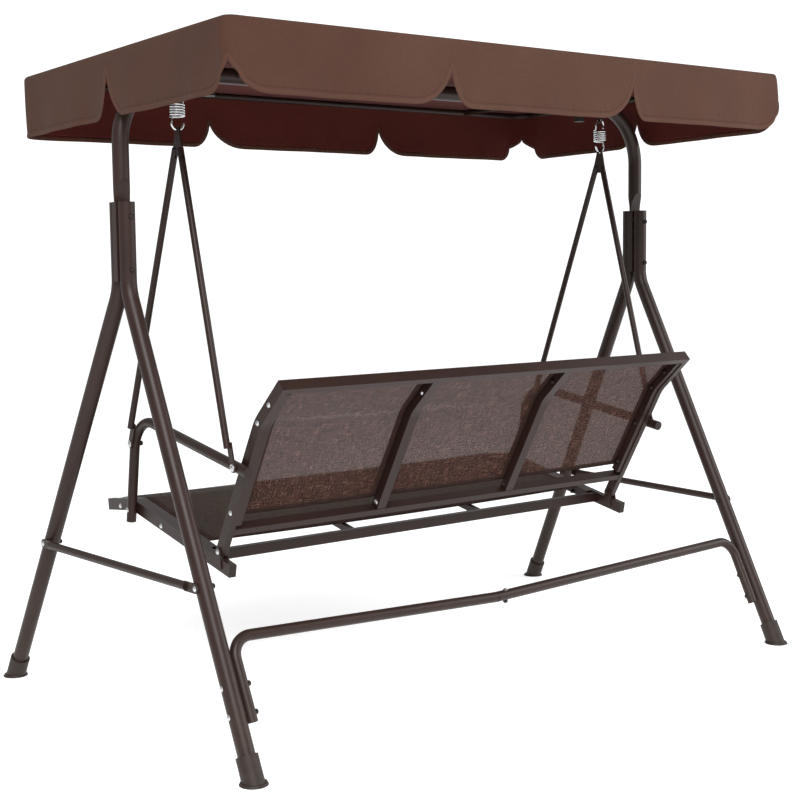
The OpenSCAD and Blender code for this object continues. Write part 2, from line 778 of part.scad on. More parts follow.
// The top rail, cut at 45 degrees where it meets the posts; grow makes the matching cutter
module top_rail_block(grow) {
    outer = back_inner + post_w;
    translate([0, post_path[2][0], post_path[2][1]])
        rotate([post_top_angle, 0, 0])
            translate([0, 0, -post_d / 2 - grow])
                linear_extrude(height = post_d + 2 * grow)
                    polygon([[-outer - grow, grow], [outer + grow, grow],
                             [back_inner - grow * 0.4, -post_w - grow * 0.4],
                             [-back_inner + grow * 0.4, -post_w - grow * 0.4]]);
}
module back_top_rail() {
    outer = back_inner + post_w;
    color(powder)
        difference() {
            top_rail_block(0);
            translate([0, post_path[2][0], post_path[2][1]])
                rotate([post_top_angle, 0, 0])
                    translate([-outer, -post_w + wall, -post_d / 2 + wall])
                        cube([2 * outer, post_w - 2 * wall, post_d - 2 * wall]);
        }
}
module back_post() {
    color(powder)
        difference() {
            upright_yz(side_x)
                box_path(post_path, post_bend_r, post_d, post_w);
            top_rail_block(0.05);
            upright_yz(side_x)
                bar_path(shifted(rail_path, gap), rail_bend_r, rail_h, rail_w + 2);
            hole_x(side_x - 40, side_x + 40, pivot_bolt[0], pivot_bolt[1]);
            for (s = post_bolts_s)
                hole_x(side_x - 40, side_x + 40, point_on(post_path, s)[0], point_on(post_path, s)[1]);
        }
}
bottom_rail_s = 68;
bottom_rail_t = 16;
// Distances along the post's path between which the inner posts and the fabric rails run
above_bottom = bottom_rail_s + bottom_rail_t / 2 + 0.1;
module back_bottom_rail() {
    path = shortened(post_path, bottom_rail_s - bottom_rail_t / 2, 0);
    angle = atan2(post_path[1][1] - post_path[0][1], post_path[1][0] - post_path[0][0]);
    color(powder)
        translate([0, path[0][0], path[0][1]])
            rotate([angle, 0, 0])
                difference() {
                    translate([-back_inner + 0.05, 0, -post_d / 2 + 1])
                        cube([2 * back_inner - 0.1, bottom_rail_t, post_d - 2]);
                    translate([-back_inner - 1, wall, -post_d / 2 + 1 + wall])
                        cube([2 * back_inner + 2, bottom_rail_t - 2 * wall, post_d - 2 - 2 * wall]);
                }
}
inner_bolts_s = [above_bottom + 14, 434];
module back_inner_post() {
    color(powder)
        difference() {
            upright_yz(mid_x)
                box_path(shortened(post_path, above_bottom, post_w + 0.1), post_bend_r, post_d - 4, mid_w);
            for (s = inner_bolts_s)
                hole_x(mid_x - 40, mid_x + 40, point_on(post_path, s)[0], point_on(post_path, s)[1]);
        }
}
module back_sling_rail() {
    color(powder)
        difference() {
            upright_yz(back_inner - back_sling_w / 2 - 0.05)
                box_path(shortened(post_path, above_bottom + 10, post_w + 6), post_bend_r, post_d - 6, back_sling_w);
            for (s = post_bolts_s)
                hole_x(back_inner - 40, back_inner + 40, point_on(post_path, s)[0], point_on(post_path, s)[1]);
        }
}
// A mesh panel between x0 and x1, level with the front of the posts
module back_mesh(x0, x1) {
    color(mesh_brown)
        upright_yz((x0 + x1) / 2)
            bar_path(shifted(shortened(post_path, above_bottom + 12, post_w + 3), mesh_forward), post_bend_r, mesh_t, x1 - x0);
}
mesh_forward = 9;
mesh_outer = back_inner - back_sling_w - 0.2;
mesh_inner = mid_x + mid_w / 2 + 0.1;

// ---- seat fasteners -------------------------------------------------------------------------------
back_nut_x = back_inner - back_sling_w - 0.1;
seat_nut_x = seat_inner - sling_rail_w - 0.1;
module seat_frame_bolts() {
    color(zinc)
        for (s = [-1, 1]) {
            for (k = [0 : len(rail_bolts_y) - 1]) {
                at = rail_bolt_at(rail_bolts_y[k]);
                from = k == 1 ? arm_x + arm_d / 2 : side_x + rail_w / 2;
                bolt_x(s * from, s * (seat_nut_x - shank_in_nut), at[0], at[1]);
            }
            for (d = post_bolts_s)
                if (d != arm_bolt_s) {
                    at = point_on(post_path, d);
                    bolt_x(s * (side_x + post_w / 2), s * (back_nut_x - shank_in_nut), at[0], at[1]);
                }
            bolt_x(s * (side_x + rail_w / 2 + ear_t), s * (side_x - rail_w / 2 - ear_t - shank_in_nut),
                   pivot_bolt[0], pivot_bolt[1]);
            for (d = inner_bolts_s) {
                at = point_on(post_path, d);
                bolt_x(s * (mid_x + mid_w / 2), s * (mid_x - mid_w / 2 - shank_in_nut), at[0], at[1]);
            }
        }
}
module seat_cap_nuts() {
    color(brown_plastic)
        for (s = [-1, 1]) {
            for (y = rail_bolts_y)
                cap_nut_x(s * seat_nut_x, rail_bolt_at(y)[0], rail_bolt_at(y)[1], -s);
            for (d = post_bolts_s)
                cap_nut_x(s * back_nut_x, point_on(post_path, d)[0], point_on(post_path, d)[1], -s);
            cap_nut_x(s * (side_x - rail_w / 2 - ear_t), pivot_bolt[0], pivot_bolt[1], -s);
            cap_nut_x(s * (arm_x - arm_d / 2), hanger_bolts_yz[0][0], hanger_bolts_yz[0][1], -s);
            for (d = inner_bolts_s)
                cap_nut_x(s * (mid_x - mid_w / 2), point_on(post_path, d)[0], point_on(post_path, d)[1], -s);
        }
}
// Plugs in the open ends of the side rails and armrests
module end_caps() {
    color(brown_plastic)
        for (s = [-1, 1])
            mirrored(s) {
                upright_yz(side_x)
                    for (k = [0, 1]) {
                        a = rail_path[k * 2];
                        bar_piece(along(a, rail_path[1], -cap_t), a, rail_h, rail_w);
                    }
                upright_yz(arm_x)
                    for (k = [0, 1]) {
                        a = arm_path[k * 2];
                        rod_piece(along(a, arm_path[1], -cap_t), a, arm_d / 2);
                    }
            }
}

// ---- canopy ---------------------------------------------------------------------------------------
arm_spread = 600;
canopy_tube_z = leg_r + canopy_tube_d / 2 + gap;
roof_z = canopy_tube_z + canopy_tube_d / 2 + 0.7;
cloth_t = 2.4;
bow_side_x = canopy_w / 2 - 13;
bow_front_y = -canopy_front + 13;
bow_rear_y = canopy_rear - 13;
bow_corner_r = 45;
side_half = 175;
clamp_r = leg_r + gap;
clamp_w = 30;
module canopy_place() {
    translate([0, 0, beam_z])
        rotate([canopy_tilt, 0, 0])
            children();
}
// A U of tube: end is the bow's y, from its open ends at y
module canopy_bow(y, end) {
    path = [[-bow_side_x, y], [-bow_side_x, end], [bow_side_x, end], [bow_side_x, y]];
    color(powder)
        canopy_place()
            translate([0, 0, canopy_tube_z])
                tube_path(path, bow_corner_r, canopy_tube_d / 2);
}
module canopy_side() {
    spigot = 35;
    spigot_r = canopy_tube_d / 2 - wall - 0.1;
    color(powder)
        canopy_place()
            translate([0, 0, canopy_tube_z])
                difference() {
                    union() {
                        rod_piece([bow_side_x, -side_half + 0.1], [bow_side_x, side_half - 0.1], canopy_tube_d / 2);
                        rod_piece([bow_side_x, -side_half - spigot], [bow_side_x, side_half + spigot], spigot_r);
                    }
                    rod_piece([bow_side_x, -side_half - spigot - 1], [bow_side_x, side_half + spigot + 1],
                              spigot_r - wall);
                }
}
// Two arms over the beam, each with the clamp ring that it tilts on
module canopy_arms() {
    boss_r = 9;
    boss_low = -36;
    color(powder)
        canopy_place()
            for (s = [-1, 1])
                difference() {
                    union() {
                        translate([s * arm_spread, 0, canopy_tube_z])
                            rod_piece([0, bow_front_y + canopy_tube_d / 2 + 0.1],
                                      [0, bow_rear_y - canopy_tube_d / 2 - 0.1], canopy_tube_d / 2);
                        hole_x(s * arm_spread - clamp_w / 2, s * arm_spread + clamp_w / 2, 0, 0, clamp_r + 3);
                        translate([s * arm_spread, 0, boss_low])
                            cylinder(r = boss_r, h = -boss_low);
                    }
                    translate([s * arm_spread, 0, canopy_tube_z])
                        rod_piece([0, bow_front_y], [0, bow_rear_y], canopy_tube_d / 2 - wall);
                    hole_x(s * arm_spread - clamp_w, s * arm_spread + clamp_w, 0, 0, clamp_r);
                    translate([s * arm_spread, 0, boss_low - 1])
                        cylinder(r = 4.1, h = -boss_low);
                }
}
module tilt_knobs() {
    knob_r = 15;
    knob_h = 13;
    lobes = 5;
    color(brown_plastic)
        canopy_place()
            for (s = [-1, 1])
                translate([s * arm_spread, 0, -36.3 - knob_h]) {
                    difference() {
                        cylinder(r = knob_r, h = knob_h);
                        for (k = [0 : lobes - 1])
                            rotate([0, 0, 360 * k / lobes])
                                translate([knob_r + 3.5, 0, -1])
                                    cylinder(r = 6, h = knob_h + 2);
                    }
                    cylinder(r = 4, h = knob_h + 36.3 - clamp_r);
                }
}
// One hanging flap as an outline from a to b along the roof's edge, its lower corners rounded off
module flap_outline(a, b, drop) {
    corner = 34;
    polygon([[a, 0], [a + 4, -drop * 0.45], [a + corner * 0.55, -drop * 0.8], [a + corner * 1.4, -drop],
             [b - corner * 1.4, -drop], [b - corner * 0.55, -drop * 0.8], [b - 4, -drop * 0.45], [b, 0]]);
}
flap_notch_x = 283;
flap_notch_y = -12;
module canopy_fabric() {
    half = canopy_w / 2;
    long_edges = [[-half, -flap_notch_x], [-flap_notch_x, flap_notch_x], [flap_notch_x, half]];
    short_edges = [[-canopy_front, flap_notch_y], [flap_notch_y, canopy_rear]];
    hang = flap_drop + cloth_t;
    color(fabric_brown)
        canopy_place()
            translate([0, 0, roof_z]) {
                translate([-half, -canopy_front, 0])
                    cube([canopy_w, canopy_front + canopy_rear, cloth_t]);
                translate([0, 0, cloth_t]) {
                    for (y = [-canopy_front + cloth_t, canopy_rear], e = long_edges)
                        translate([0, y, 0])
                            rotate([90, 0, 0])
                                linear_extrude(height = cloth_t)
                                    flap_outline(e[0], e[1], hang);
                    for (x = [-half, half - cloth_t], e = short_edges)
                        upright_yz(x)
                            linear_extrude(height = cloth_t)
                                flap_outline(e[0], e[1], hang);
                }
            }
}

// ---- nodes ----------------------------------------------------------------------------------------
module right() {
    mirror([1, 0, 0])
        children();
}
boot(-1);  // boot_front_left
right() boot(-1);  // boot_front_right
boot(1);  // boot_rear_left
right() boot(1);  // boot_rear_right
leg(-1);  // leg_front_left
right() leg(-1);  // leg_front_right
leg(1);  // leg_rear_left
right() leg(1);  // leg_rear_right
upright();  // upright_left
right() upright();  // upright_right
top_beam();
cross_tube_half(1);  // cross_tube_left
cross_tube_half(-1);  // cross_tube_right
side_brace();  // side_brace_left
right() side_brace();  // side_brace_right
leg_bolts();
short_bolts();
cross_tube_bolts();
frame_cap_nuts();
spring();  // spring_left
right() spring();  // spring_right
hanger_rod(0);  // hanger_front_left
right() hanger_rod(0);  // hanger_front_right
hanger_rod(1);  // hanger_rear_left
right() hanger_rod(1);  // hanger_rear_right
hanger_plate();  // hanger_plate_left
right() hanger_plate();  // hanger_plate_right
hanger_bolts();
armrest();  // armrest_left
right() armrest();  // armrest_right
end_caps();
seat_rail();  // seat_rail_left
right() seat_rail();  // seat_rail_right
cross_rail(front_rail_at, cross_rail_w, cross_rail_h);  // seat_front_rail
cross_rail(rear_rail_at, cross_rail_w, cross_rail_h);  // seat_rear_rail
seat_support();  // seat_support_left
right() seat_support();  // seat_support_right
seat_sling_rail();  // seat_sling_rail_left
right() seat_sling_rail();  // seat_sling_rail_right
seat_sling();
back_post();  // back_post_left
right() back_post();  // back_post_right
back_inner_post();  // back_inner_post_left
right() back_inner_post();  // back_inner_post_right
back_top_rail();
back_bottom_rail();
back_sling_rail();  // back_sling_rail_left
right() back_sling_rail();  // back_sling_rail_right
back_mesh(mesh_inner, mesh_outer);  // back_mesh_left
back_mesh(-mid_x + mid_w / 2 + 0.1, mid_x - mid_w / 2 - 0.1);  // back_mesh_middle
back_mesh(-mesh_outer, -mesh_inner);  // back_mesh_right
seat_frame_bolts();
seat_cap_nuts();
canopy_bow(-side_half, bow_front_y);  // canopy_bow_front
canopy_bow(side_half, bow_rear_y);  // canopy_bow_rear
canopy_side();  // canopy_side_left
right() canopy_side();  // canopy_side_right
canopy_arms();
tilt_knobs();
canopy_fabric();
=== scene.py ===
import math

import bmesh
import bpy
from mathutils import Matrix, Vector


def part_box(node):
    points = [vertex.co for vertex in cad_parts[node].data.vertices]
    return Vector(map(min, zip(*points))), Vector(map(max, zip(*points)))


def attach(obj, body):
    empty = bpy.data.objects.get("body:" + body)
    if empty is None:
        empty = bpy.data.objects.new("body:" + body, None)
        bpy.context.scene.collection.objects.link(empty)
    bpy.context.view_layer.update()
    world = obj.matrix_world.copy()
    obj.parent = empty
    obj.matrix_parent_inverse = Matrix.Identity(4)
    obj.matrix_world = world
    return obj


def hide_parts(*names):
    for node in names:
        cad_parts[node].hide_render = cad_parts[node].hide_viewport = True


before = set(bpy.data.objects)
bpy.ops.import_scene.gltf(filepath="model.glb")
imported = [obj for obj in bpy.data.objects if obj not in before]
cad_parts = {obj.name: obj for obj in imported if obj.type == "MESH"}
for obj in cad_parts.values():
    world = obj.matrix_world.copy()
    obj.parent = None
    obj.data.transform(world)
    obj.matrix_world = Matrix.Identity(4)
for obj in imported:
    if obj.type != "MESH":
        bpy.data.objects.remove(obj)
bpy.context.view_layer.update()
bpy.ops.object.select_all(action="DESELECT")

# ---- A-frames, beam and braces ------------------------------------------------------------------
# Round steel tubes, bent and drilled, then powder coated dark brown. The coat is satin with a faint
# orange peel, a little thinner and lighter in patches, and dusty near the ground.
powder_dark = (0.011, 0.0050, 0.0036, 1)
powder_light = (0.026, 0.0130, 0.0095, 1)
powder_dust = (0.060, 0.044, 0.034, 1)


def add_node(tree, kind, **settings):
    """A node with the given properties, or values of the inputs of that name."""
    node = tree.nodes.new(kind)
    for name, value in settings.items():
        if hasattr(node, name):
            setattr(node, name, value)
        else:
            node.inputs[name.replace("_", " ")].default_value = value
    return node


def new_group(name, inputs, outputs):
    """A shared effect, with its inputs' defaults and its outputs."""
    group = bpy.data.node_groups.new(name, "ShaderNodeTree")
    for label, value in inputs.items():
        socket = group.interface.new_socket(label, in_out="INPUT", socket_type="NodeSocketFloat")
        socket.default_value = value
    for label in outputs:
        group.interface.new_socket(label, in_out="OUTPUT", socket_type="NodeSocketFloat")
    return group, group.nodes.new("NodeGroupInput"), group.nodes.new("NodeGroupOutput")


# Fine grain, broad patches and dust that gathers low down
coat, coat_in, coat_out = new_group("coat_wear", {"Grain": 900, "Patches": 7}, ["Fine", "Broad", "Dust"])
where = add_node(coat, "ShaderNodeTexCoord")
fine = add_node(coat, "ShaderNodeTexNoise", Detail=2.0)
broad = add_node(coat, "ShaderNodeTexNoise", Detail=5.0, Roughness=0.6)
speck = add_node(coat, "ShaderNodeTexNoise", Scale=60.0, Detail=6.0)
split = add_node(coat, "ShaderNodeSeparateXYZ")
low = add_node(coat, "ShaderNodeMapRange", From_Min=0.35, From_Max=0.0)
dusty = add_node(coat, "ShaderNodeMath", operation="MULTIPLY")
for noise in (fine, broad, speck):
    coat.links.new(where.outputs["Object"], noise.inputs["Vector"])
coat.links.new(where.outputs["Object"], split.inputs[0])
coat.links.new(split.outputs["Z"], low.inputs["Value"])
coat.links.new(coat_in.outputs["Grain"], fine.inputs["Scale"])
coat.links.new(coat_in.outputs["Patches"], broad.inputs["Scale"])
coat.links.new(low.outputs["Result"], dusty.inputs[0])
coat.links.new(speck.outputs["Fac"], dusty.inputs[1])
coat.links.new(fine.outputs["Fac"], coat_out.inputs["Fine"])
coat.links.new(broad.outputs["Fac"], coat_out.inputs["Broad"])
coat.links.new(dusty.outputs[0], coat_out.inputs["Dust"])


def coated(name, dark, light, dust, rough, bump, metallic=0.0, grain=900, patches=7):
    """A finish that varies over the surface: two tones, dust near the ground, fine grain."""
    material = bpy.data.materials.new(name)
    material.use_nodes = True
    tree = material.node_tree
    surface = tree.nodes["Principled BSDF"]
    wear = add_node(tree, "ShaderNodeGroup")
    wear.node_tree = coat
    wear.inputs["Grain"].default_value = grain
    wear.inputs["Patches"].default_value = patches
    tones = add_node(tree, "ShaderNodeMix", data_type="RGBA")
    tones.inputs[6].default_value, tones.inputs[7].default_value = dark, light
    share = add_node(tree, "ShaderNodeMath", operation="MULTIPLY")
    share.inputs[1].default_value = 0.5
    dusted = add_node(tree, "ShaderNodeMix", data_type="RGBA")
    dusted.inputs[7].default_value = dust
    gloss = add_node(tree, "ShaderNodeMapRange", To_Min=rough - 0.07, To_Max=rough + 0.09)
    grain_bump = add_node(tree, "ShaderNodeBump", Strength=bump, Distance=0.0004)
    link = tree.links.new
    link(wear.outputs["Broad"], tones.inputs["Factor"])
    link(tones.outputs[2], dusted.inputs[6])
    link(wear.outputs["Dust"], share.inputs[0])
    link(share.outputs[0], dusted.inputs["Factor"])
    link(dusted.outputs[2], surface.inputs["Base Color"])
    link(wear.outputs["Broad"], gloss.inputs["Value"])
    link(gloss.outputs["Result"], surface.inputs["Roughness"])
    link(wear.outputs["Fine"], grain_bump.inputs["Height"])
    link(grain_bump.outputs["Normal"], surface.inputs["Normal"])
    surface.inputs["Metallic"].default_value = metallic
    surface.inputs["Specular IOR Level"].default_value = 0.22
    return material


def dress(material, *starts):
    """Gives a finish to every CAD node whose name starts so."""
    for name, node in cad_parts.items():
        if name.startswith(starts):
            node.data.materials.clear()
            node.data.materials.append(material)


powder_coat = coated("powder_coat", powder_dark, powder_light, powder_dust, rough=0.38, bump=0.25)
dress(powder_coat, "leg_", "upright_", "top_beam", "cross_tube_", "side_brace_")

# ---- boots, caps, cap nuts and knobs ------------------------------------------------------------
# Injection-moulded dark plastic with a fine mould grain, a little rougher than the coat. The boots are
# pushed over the legs' ends, the caps into the tubes' ends and the cap nuts over the bolts.
moulded = coated("moulded_plastic", (0.011, 0.0062, 0.0050, 1), (0.019, 0.012, 0.0098, 1),
                 (0.060, 0.045, 0.036, 1), rough=0.52, bump=0.35, grain=1400, patches=14)
dress(moulded, "boot_", "frame_cap_nuts", "seat_cap_nuts", "end_caps", "tilt_knobs")

# ---- bolts --------------------------------------------------------------------------------------
# Cold-headed steel bolts with domed heads, zinc plated. The plating is bright, with a fine mottle,
# and their other ends run into the plastic cap nuts.
zinc = coated("zinc_plate", (0.42, 0.42, 0.43, 1), (0.66, 0.66, 0.67, 1), (0.4, 0.38, 0.35, 1),
              rough=0.3, bump=0.1, metallic=1.0, grain=500, patches=60)
dress(zinc, "leg_bolts", "short_bolts", "cross_tube_bolts", "hanger_bolts", "seat_frame_bolts")

# ---- suspension ---------------------------------------------------------------------------------
# Powder-coated rods with flattened ends, bolted to the armrests and welded to a plate at the top. The
# springs are wound from 5 mm wire, with open hooks, and zinc plated bright.
dress(powder_coat, "hanger_front", "hanger_rear", "hanger_plate")
spring_low, spring_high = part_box("spring_left")
wire_r = 0.0025
spring_x = (spring_low.x + spring_high.x) / 2
coil_r = (spring_high.x - spring_low.x) / 2 - wire_r
pivot_z = spring_high.z - wire_r
hook_low_z = spring_low.z + wire_r
coil_turns = 5.5
steps_per_turn = 36
hook_step = 5
coil_inset = 0.002
coil_top = pivot_z - 2 * coil_r + coil_inset
coil_low = hook_low_z + 2 * coil_r - coil_inset


def spring_route():
    """The wire's axis: the upper hook, the coil and the lower hook, each a part of a circle on."""
    points = []
    for step in range(46):
        a = math.radians(-30 + hook_step * step)
        points.append((coil_r * math.cos(a), 0, pivot_z - coil_r + coil_r * math.sin(a)))
    steps = int(coil_turns * steps_per_turn)
    for step in range(steps + 1):
        a = math.pi + 2 * math.pi * step / steps_per_turn
        z = coil_top + (coil_low - coil_top) * step / steps
        points.append((coil_r * math.cos(a), coil_r * math.sin(a), z))
    for step in range(40):
        a = math.radians(15 - hook_step * step)
        points.append((coil_r * math.cos(a), 0, hook_low_z + coil_r + coil_r * math.sin(a)))
    return points


def wire_along(name, points, radius, material):
    """A round wire along a list of points, as a mesh."""
    line = bpy.data.curves.new(name, "CURVE")
    line.dimensions = "3D"
    spline = line.splines.new("POLY")
    spline.points.add(len(points) - 1)
    for point, place in zip(spline.points, points):
        point.co = (*place, 1)
    line.bevel_depth = radius
    line.bevel_resolution = 4
    line.use_fill_caps = True
    piece = bpy.data.objects.new(name, line)
    bpy.context.collection.objects.link(piece)
    bpy.ops.object.select_all(action="DESELECT")
    piece.select_set(True)
    bpy.context.view_layer.objects.active = piece
    bpy.ops.object.convert(target="MESH")
    bpy.ops.object.shade_smooth_by_angle(angle=math.radians(50))
    piece.data.materials.clear()
    piece.data.materials.append(material)
    return piece


spring_zinc = coated("spring_zinc", (0.45, 0.46, 0.47, 1), (0.74, 0.75, 0.76, 1), (0.4, 0.38, 0.35, 1),
                     rough=0.24, bump=0.1, metallic=1.0, grain=700, patches=90)
for side, label in ((1, "left"), (-1, "right")):
    spring = wire_along("coil_spring_" + label,
                        [(side * (spring_x + x), y, z) for x, y, z in spring_route()],
                        wire_r, spring_zinc)
    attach(spring, "springs")
    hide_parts("spring_" + label)

# ---- seat and backrest frames -------------------------------------------------------------------
# Rectangular steel tube for the rails and posts, round tube for the armrests, cut, bent, welded at
# the ears and powder coated like the A-frames.
dress(powder_coat, "armrest_", "seat_rail_", "seat_front_rail", "seat_rear_rail", "seat_support_",
      "seat_sling_rail_", "back_post_", "back_inner_post_", "back_top_rail", "back_bottom_rail",
      "back_sling_rail_")

# ---- seat and back fabric -----------------------------------------------------------------------
# Woven PVC-coated yarn, stretched between the rails: light, dark and reddish threads on the back,
# darker on the seat. The back lets some light through.
weave, weave_in, weave_out = new_group("thread_weave", {"Pitch": 600}, ["Height", "Thread", "Hole"])
uv = add_node(weave, "ShaderNodeUVMap")
stretch = add_node(weave, "ShaderNodeVectorMath", operation="SCALE")
parts = add_node(weave, "ShaderNodeSeparateXYZ")
weave.links.new(uv.outputs[0], stretch.inputs[0])
weave.links.new(weave_in.outputs["Pitch"], stretch.inputs["Scale"])
weave.links.new(stretch.outputs[0], parts.inputs[0])
waves = []
for axis in ("X", "Y"):
    turn = add_node(weave, "ShaderNodeMath", operation="MULTIPLY")
    turn.inputs[1].default_value = 2 * math.pi
    wave = add_node(weave, "ShaderNodeMath", operation="SINE")
    size = add_node(weave, "ShaderNodeMath", operation="ABSOLUTE")
    weave.links.new(parts.outputs[axis], turn.inputs[0])
    weave.links.new(turn.outputs[0], wave.inputs[0])
    weave.links.new(wave.outputs[0], size.inputs[0])
    waves.append(size)
crossing = add_node(weave, "ShaderNodeMath", operation="MAXIMUM")
weave.links.new(waves[0].outputs[0], crossing.inputs[0])
weave.links.new(waves[1].outputs[0], crossing.inputs[1])
gap = add_node(weave, "ShaderNodeMapRange", From_Min=0.45, From_Max=0.25)
weave.links.new(crossing.outputs[0], gap.inputs["Value"])
streak_place = add_node(weave, "ShaderNodeMapping")
streak_place.inputs["Scale"].default_value = (0.2, 3.4, 1)
streaks = add_node(weave, "ShaderNodeTexNoise", Scale=150.0, Detail=3.0, Roughness=0.6)
streak_across = add_node(weave, "ShaderNodeMapping")
streak_across.inputs["Scale"].default_value = (3.4, 0.2, 1)
streaks_across = add_node(weave, "ShaderNodeTexNoise", Scale=140.0, Detail=3.0, Roughness=0.6)
both = add_node(weave, "ShaderNodeMath", operation="ADD")
half = add_node(weave, "ShaderNodeMath", operation="MULTIPLY")
half.inputs[1].default_value = 0.5
weave.links.new(uv.outputs[0], streak_place.inputs[0])
weave.links.new(uv.outputs[0], streak_across.inputs[0])
weave.links.new(streak_place.outputs[0], streaks.inputs["Vector"])
weave.links.new(streak_across.outputs[0], streaks_across.inputs["Vector"])
weave.links.new(streaks.outputs["Fac"], both.inputs[0])
weave.links.new(streaks_across.outputs["Fac"], both.inputs[1])
weave.links.new(both.outputs[0], half.inputs[0])
weave.links.new(crossing.outputs[0], weave_out.inputs["Height"])
weave.links.new(half.outputs[0], weave_out.inputs["Thread"])
weave.links.new(gap.outputs["Result"], weave_out.inputs["Hole"])


def woven(name, tones, pitch, rough, see_through):
    """Cloth of threads in the given tones; see_through is how open the weave is."""
    material = bpy.data.materials.new(name)
    material.use_nodes = True
    tree = material.node_tree
    surface = tree.nodes["Principled BSDF"]
    threads = add_node(tree, "ShaderNodeGroup")
    threads.node_tree = weave
    threads.inputs["Pitch"].default_value = pitch
    ramp = add_node(tree, "ShaderNodeValToRGB")
    ramp.color_ramp.elements[0].position, ramp.color_ramp.elements[0].color = 0.38, tones[0]
    ramp.color_ramp.elements[1].position, ramp.color_ramp.elements[1].color = 0.63, tones[-1]
    for k, tone in enumerate(tones[1:-1]):
        ramp.color_ramp.elements.new(0.38 + 0.25 * (k + 1) / (len(tones) - 1)).color = tone
    raised = add_node(tree, "ShaderNodeBump", Strength=0.5, Distance=0.0005)
    link = tree.links.new
    link(threads.outputs["Thread"], ramp.inputs[0])
    link(ramp.outputs[0], surface.inputs["Base Color"])
    link(threads.outputs["Height"], raised.inputs["Height"])
    link(raised.outputs["Normal"], surface.inputs["Normal"])
    surface.inputs["Roughness"].default_value = rough
    surface.inputs["Specular IOR Level"].default_value = 0.12
    if see_through:
        open_share = add_node(tree, "ShaderNodeMath", operation="MULTIPLY")
        open_share.inputs[1].default_value = see_through
        solid = add_node(tree, "ShaderNodeMath", operation="SUBTRACT")
        solid.inputs[0].default_value = 1.0 - see_through * 0.3
        link(threads.outputs["Hole"], open_share.inputs[0])
        link(open_share.outputs[0], solid.inputs[1])
        link(solid.outputs[0], surface.inputs["Alpha"])
    return material


def bent_route(corners, bend_r):
    """Points along a path with a rounded bend, in the [y, z] plane."""
    a, b, c = [Vector(p) for p in corners]
    d1, d2 = (b - a).normalized(), (c - b).normalized()
    turn = math.atan2(d1.x * d2.y - d1.y * d2.x, d1.dot(d2))
    trim = bend_r * math.tan(abs(turn) / 2)
    start, end = b - d1 * trim, b + d2 * trim
    side = 1 if turn > 0 else -1
    centre = start + Vector((-d1.y, d1.x)) * side * bend_r
    route = [a.lerp(start, k / 24) for k in range(24)]
    for k in range(13):
        angle = turn * k / 12
        arm = start - centre
        route.append(centre + Vector((arm.x * math.cos(angle) - arm.y * math.sin(angle),
                                      arm.x * math.sin(angle) + arm.y * math.cos(angle))))
    route += [end.lerp(c, k / 24) for k in range(1, 25)]
    return route


def stretched_sheet(name, route, x0, x1, thickness, materials, sag, columns=60, hem=0.018):
    """A sheet between two rails, dipping by sag, its weave laid on by a UV map and its edges doubled."""
    build = bmesh.new()
    uv_layer = build.loops.layers.uv.new("UVMap")
    lengths = [0.0]
    for k in range(1, len(route)):
        lengths.append(lengths[-1] + (route[k] - route[k - 1]).length)
    rows = []
    for k, point in enumerate(route):
        ahead = route[min(k + 1, len(route) - 1)] - route[max(k - 1, 0)]
        normal = Vector((-ahead.y, ahead.x)).normalized()
        v = lengths[k] / lengths[-1]
        row = []
        for c in range(columns + 1):
            u = c / columns
            dip = sag * (1 - (2 * u - 1) ** 2) * (0.55 + 0.45 * math.sin(math.pi * v))
            place = point - normal * dip
            row.append(build.verts.new((x0 + (x1 - x0) * u, place.x, place.y)))
        rows.append(row)
    for k in range(len(rows) - 1):
        for c in range(columns):
            corners = [(k, c), (k, c + 1), (k + 1, c + 1), (k + 1, c)]
            face = build.faces.new([rows[i][j] for i, j in corners])
            face.smooth = True
            across = (x1 - x0) * min(c, columns - 1 - c) / columns
            along = min(lengths[k], lengths[-1] - lengths[k + 1])
            if min(across, along) < hem - 0.004:
                face.material_index = 1
            for loop, (i, j) in zip(face.loops, corners):
                loop[uv_layer].uv = (x0 + (x1 - x0) * j / columns, lengths[i])
    mesh = bpy.data.meshes.new(name)
    build.to_mesh(mesh)
    build.free()
    piece = bpy.data.objects.new(name, mesh)
    bpy.context.collection.objects.link(piece)
    for material in materials:
        mesh.materials.append(material)
    skin = piece.modifiers.new("thickness", "SOLIDIFY")
    skin.thickness = thickness
    skin.offset = 0
    bpy.ops.object.select_all(action="DESELECT")
    piece.select_set(True)
    bpy.context.view_layer.objects.active = piece
    bpy.ops.object.modifier_apply(modifier="thickness")
    return piece, lengths[-1]


back_threads = [(0.014, 0.007, 0.005, 1), (0.034, 0.016, 0.011, 1),
                (0.050, 0.016, 0.012, 1), (0.15, 0.088, 0.07, 1)]
seat_threads = [(0.016, 0.010, 0.007, 1), (0.036, 0.024, 0.017, 1), (0.062, 0.044, 0.032, 1)]
back_weave = woven("back_weave", back_threads, pitch=420, rough=0.72, see_through=0.62)
sleeve_threads = [(0.010, 0.005, 0.004, 1), (0.024, 0.011, 0.008, 1), (0.040, 0.020, 0.015, 1)]
sleeve_weave = woven("sleeve_weave", sleeve_threads, pitch=420, rough=0.75, see_through=0)
seat_weave = woven("seat_weave", seat_threads, pitch=420, rough=0.7, see_through=0)
mesh_low, mesh_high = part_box("back_mesh_middle")
post_corners = [(0.0825, 0.381), (0.264, 0.700), (0.364, 0.792)]
post_bend_r = 0.110
mesh_forward = 0.009
mesh_thick = 0.0012
mesh_dip = 0.004


def shift_route(route, distance):
    """A route moved sideways, to its left."""
    moved = []
    for k, point in enumerate(route):
        ahead = route[min(k + 1, len(route) - 1)] - route[max(k - 1, 0)]
        moved.append(point + Vector((-ahead.y, ahead.x)).normalized() * distance)
    return moved


